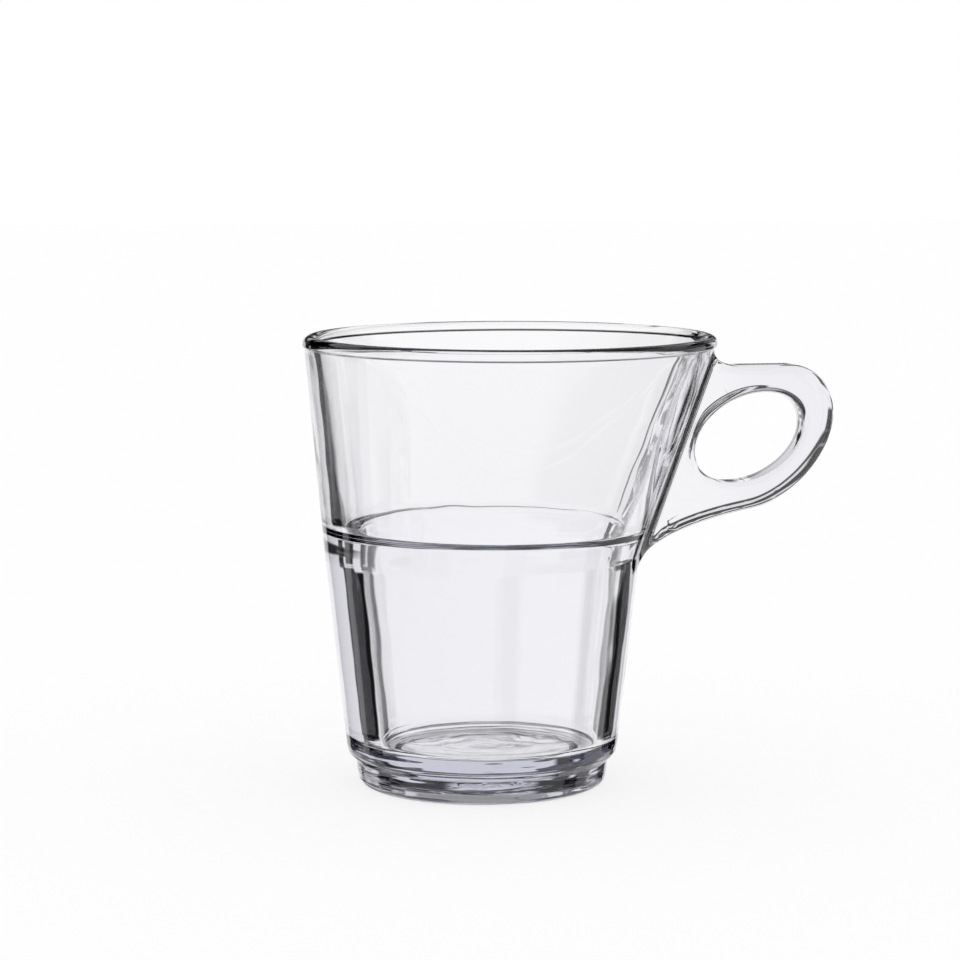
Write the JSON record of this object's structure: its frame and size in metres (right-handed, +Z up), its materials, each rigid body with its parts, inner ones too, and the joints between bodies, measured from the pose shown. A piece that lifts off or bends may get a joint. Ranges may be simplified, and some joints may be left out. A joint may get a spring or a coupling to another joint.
{
  "type": "glass coffee cup",
  "caption": "Clear pressed-glass coffee cup with a flared bowl leaning to its handle, an inside stacking ledge, a thick stepped base and a loop handle with an oval finger hole.",
  "frame": {"origin": "centre of the foot, on the surface that the cup stands on", "axes": "+Z up, +X from the foot's centre to the handle, +Y across the handle's plate"},
  "size_m": [0.1108, 0.085, 0.0928],
  "materials": {
    "clear_glass": "clear, fire-polished"
  },
  "bodies": {
    "root": {"foot": "clear_glass", "base_slab": "clear_glass", "lower_bowl": "clear_glass", "ledge_band": "clear_glass", "upper_bowl": "clear_glass", "rim_bead": "clear_glass", "handle": "clear_glass"}
  },
  "joints": []
}
